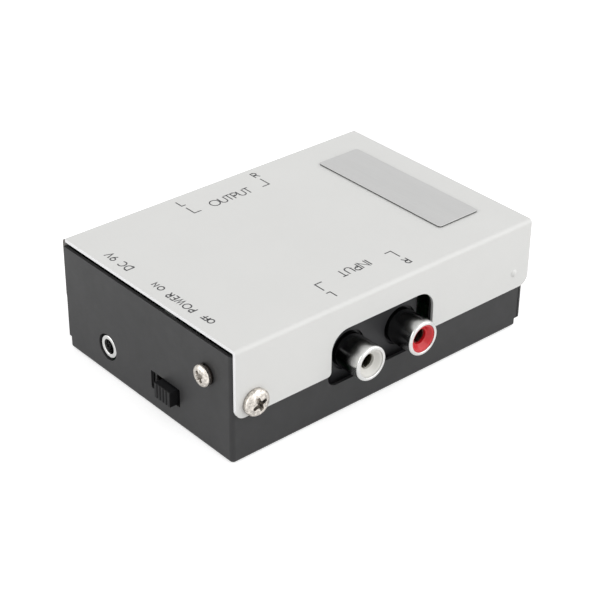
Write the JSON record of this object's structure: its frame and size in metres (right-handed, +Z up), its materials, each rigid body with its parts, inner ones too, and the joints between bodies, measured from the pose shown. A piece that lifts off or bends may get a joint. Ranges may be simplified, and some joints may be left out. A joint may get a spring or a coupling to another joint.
{
  "type": "phono preamp",
  "caption": "Small phono preamp: a pale folded cover over a black tray, with audio sockets on both long sides and a DC socket, slide switch and earth screw on one end.",
  "frame": {"origin": "on the resting face, the underside of the tray, below the middle of the cover", "axes": "+X along the case towards the plain end, +Y towards the output sockets, +Z up out of the cover"},
  "size_m": [0.0905, 0.0714, 0.0289],
  "materials": {
    "cover_paint": "smooth satin pale grey paint",
    "tray_paint": "fine matt black paint",
    "plate_metal": "satin",
    "screw_nickel": "bright nickel plate",
    "zinc_steel": "dull zinc plate",
    "socket_moulding": "fine moulded matt",
    "sleeve_plating": "bright nickel plate",
    "insert_white": "moulded gloss",
    "insert_red": "moulded gloss",
    "contact_brass": "tinned brass",
    "board_laminate": "glass laminate under green lacquer",
    "knob_plastic": "moulded matt black",
    "base_fibre": "pressed fibre board",
    "lead_tin": "tinned wire",
    "lead_insulation": "soft gloss green sleeve",
    "resistor_lacquer": "dipped lacquer with colour bands",
    "film_case": "moulded case",
    "can_sleeve": "shrunk dark sleeve with a pale stripe",
    "chip_epoxy": "moulded epoxy",
    "diode_epoxy": "moulded epoxy with a pale band"
  },
  "bodies": {
    "case": {"base_tray": "tray_paint", "blank_plate": "plate_metal", "board_screws": "screw_nickel", "board_standoffs": "zinc_steel", "circuit_board": "board_laminate", "coupling_capacitors": "can_sleeve", "cover_screw_input_side": "screw_nickel", "cover_screw_nuts": "zinc_steel", "cover_screw_output_side": "screw_nickel", "dc_socket_body": "socket_moulding", "dc_socket_bushing": "sleeve_plating", "dc_socket_sleeve_contact": "contact_brass", "dc_socket_tip_spring": "contact_brass", "earth_lead": "lead_insulation", "earth_nut_plate": "zinc_steel", "equaliser_capacitors": "film_case", "input_jack_block": "socket_moulding", "input_left_contact": "contact_brass", "input_left_insert": "insert_white", "input_left_sleeve": "sleeve_plating", "input_right_contact": "contact_brass", "input_right_insert": "insert_red", "input_right_sleeve": "sleeve_plating", "op_amp_case": "chip_epoxy", "op_amp_legs": "lead_tin", "output_jack_block": "socket_moulding", "output_left_contact": "contact_brass", "output_left_insert": "insert_white", "output_left_sleeve": "sleeve_plating", "output_right_contact": "contact_brass", "output_right_insert": "insert_red", "output_right_sleeve": "sleeve_plating", "polarity_diode": "diode_epoxy", "power_switch_base": "base_fibre", "power_switch_frame": "zinc_steel", "power_switch_terminals": "contact_brass", "resistor_bodies": "resistor_lacquer", "resistor_leads": "lead_tin", "supply_capacitors": "can_sleeve", "supply_regulator": "chip_epoxy", "top_cover": "cover_paint"},
    "power_switch": {"power_switch_knob": "knob_plastic", "power_switch_contact": "contact_brass"},
    "earth_washer": {"earth_washer": "screw_nickel"},
    "earth_screw": {"earth_screw": "screw_nickel"}
  },
  "joints": [
    {"name": "power_switch_slide", "type": "slide", "parent": "case", "child": "power_switch", "axis": [0, 1, 0], "range_m": [0, 0.003]},
    {"name": "earth_washer_slide", "type": "slide", "parent": "case", "child": "earth_washer", "axis": [-1, 0, 0], "range_m": [0, 0.0015]},
    {"name": "earth_screw_turn", "type": "hinge", "parent": "earth_washer", "child": "earth_screw", "pos_m": [-0.045, -0.0217, 0.0189], "axis": [-1, 0, 0], "range_deg": [0, 1080]}
  ],
  "couplings": [
    {"joint": "earth_screw_turn", "follows": "earth_washer_slide", "rad_per_m": 12566}
  ]
}
